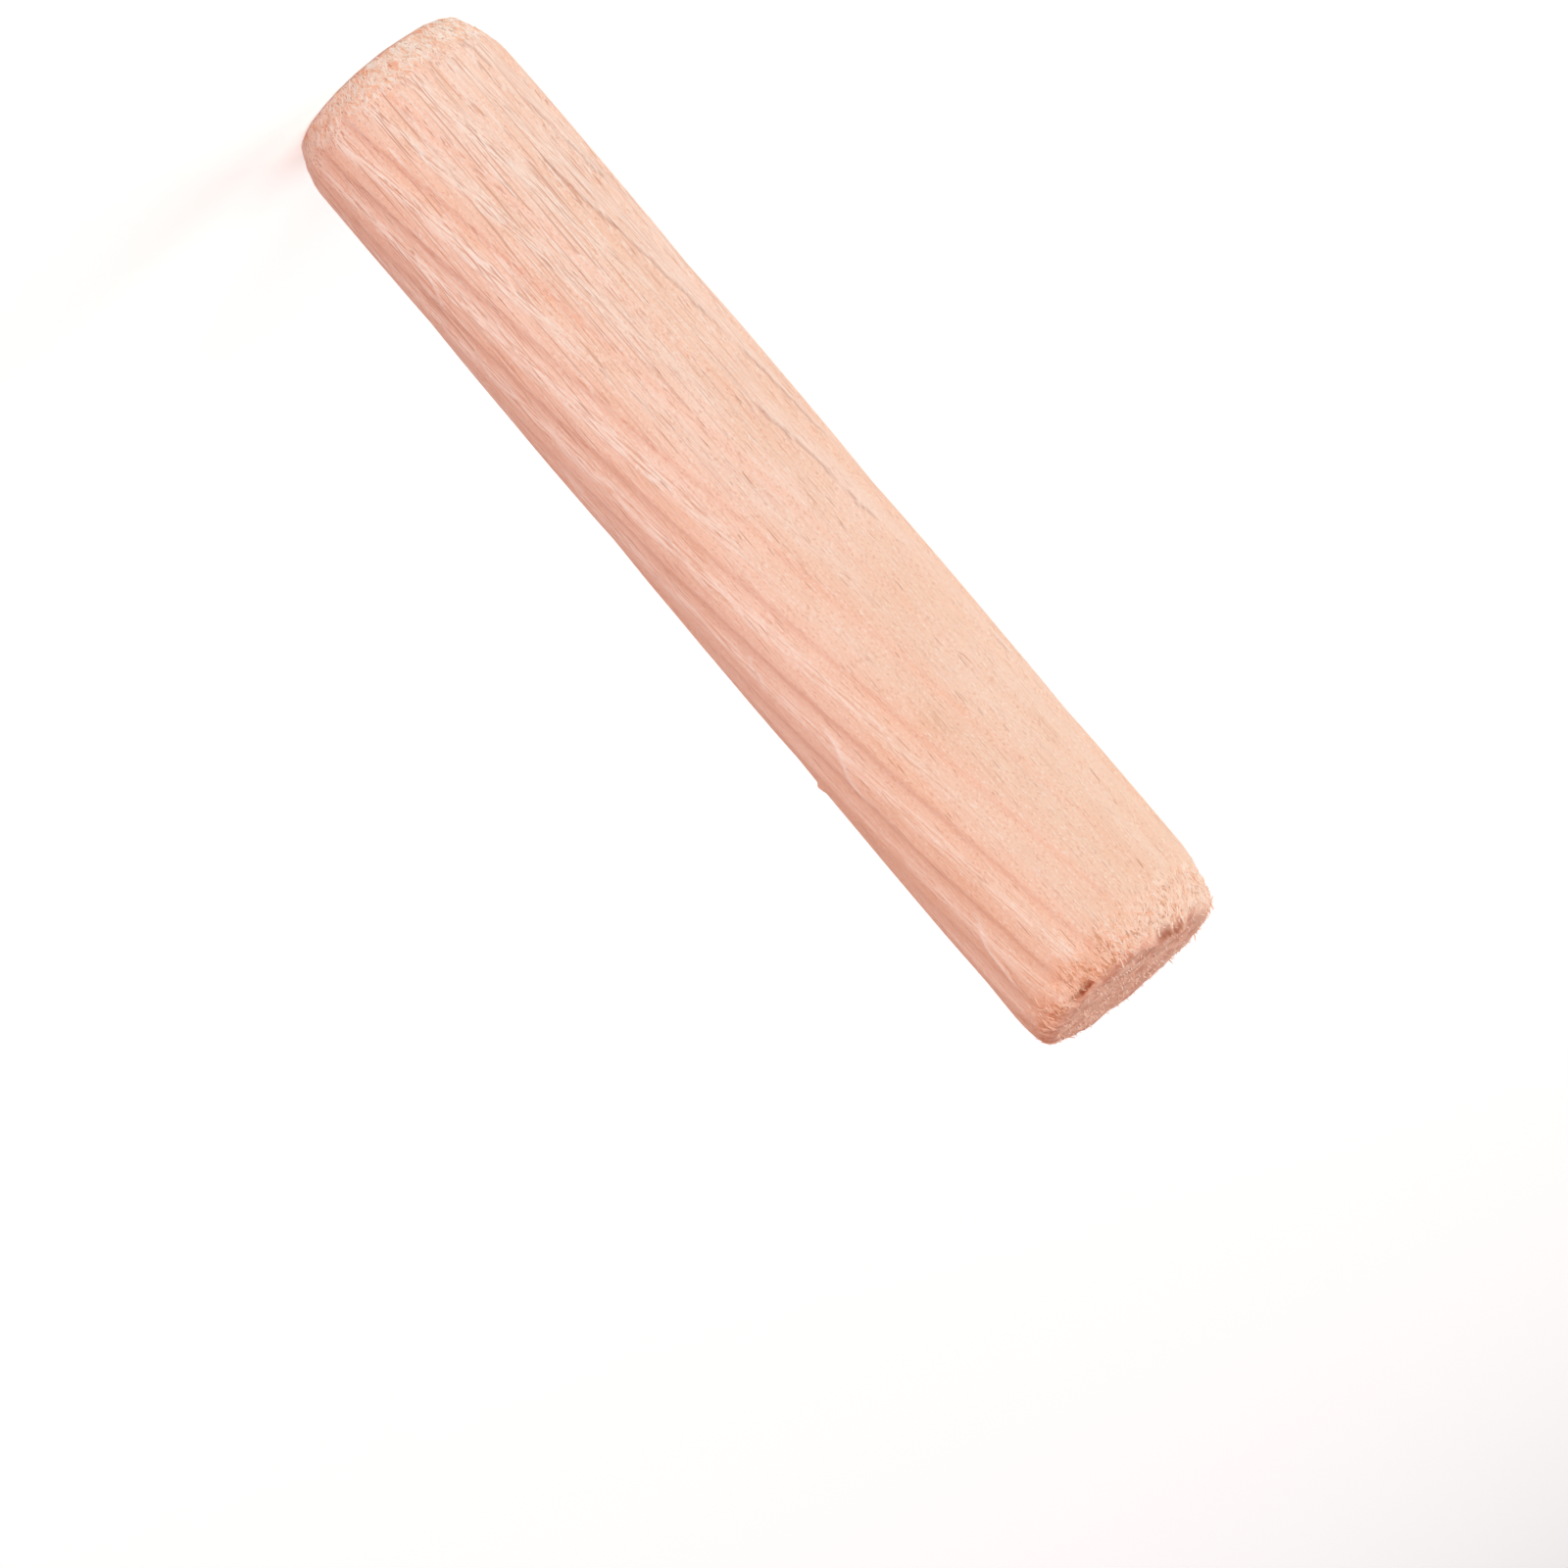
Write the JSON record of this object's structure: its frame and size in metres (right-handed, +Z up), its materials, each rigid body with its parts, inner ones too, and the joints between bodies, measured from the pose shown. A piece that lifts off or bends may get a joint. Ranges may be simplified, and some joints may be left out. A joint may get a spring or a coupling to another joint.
{
  "type": "dowel pin",
  "caption": "Wooden dowel pin: a short round rod with shallow spiral flutes and tapered ends, glued into matching drilled holes to line up and join boards.",
  "frame": {"origin": "middle of the foot's flat face, on the pin's axis", "axes": "+Z up along the pin's axis from the foot to the head, +X towards the side where the lead-in tapers are shortest"},
  "size_m": [0.008, 0.008, 0.04],
  "materials": {
    "bare_wood": "bare wood, turned and rolled, with torn end grain"
  },
  "bodies": {
    "root": {"dowel_pin": "bare_wood"}
  },
  "joints": []
}
